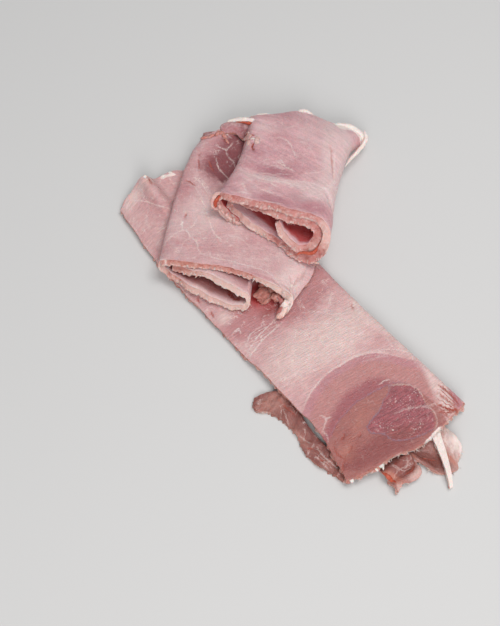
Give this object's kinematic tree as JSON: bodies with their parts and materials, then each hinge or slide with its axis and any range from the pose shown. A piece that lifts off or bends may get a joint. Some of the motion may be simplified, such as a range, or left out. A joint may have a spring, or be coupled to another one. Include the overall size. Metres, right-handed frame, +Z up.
{
  "type": "sliced cooked ham",
  "caption": "Cooked ham slices laid on each other: the lowest folded in half lengthwise, the upper ones rolled up and open at the front, with torn ends and a strip of fat.",
  "frame": {"origin": "middle of the bounding box's underside, on the surface that the slices lie on", "axes": "+Z up, +Y to the rear along the slices' longer overall extent, +X to the right"},
  "size_m": [0.1966, 0.2472, 0.0354],
  "materials": {
    "base_meat": "moist cut ham, pale pink with a rosy muscle marked by rings and seams",
    "middle_meat": "moist cut ham, pale pink with fine white marbling",
    "top_meat": "moist cut ham, rosy pink with streaky marbling",
    "thin_meat": "moist torn ham, brownish pink with a pale fatty side",
    "torn_meat": "moist torn ham, darker pink and ragged",
    "fat": "soft white fat"
  },
  "bodies": {
    "root": {"base_slice": "base_meat", "middle_slice": "middle_meat", "top_slice": "top_meat", "thin_slice": "thin_meat", "torn_strip": "torn_meat", "fat_strip": "fat"}
  },
  "joints": []
}
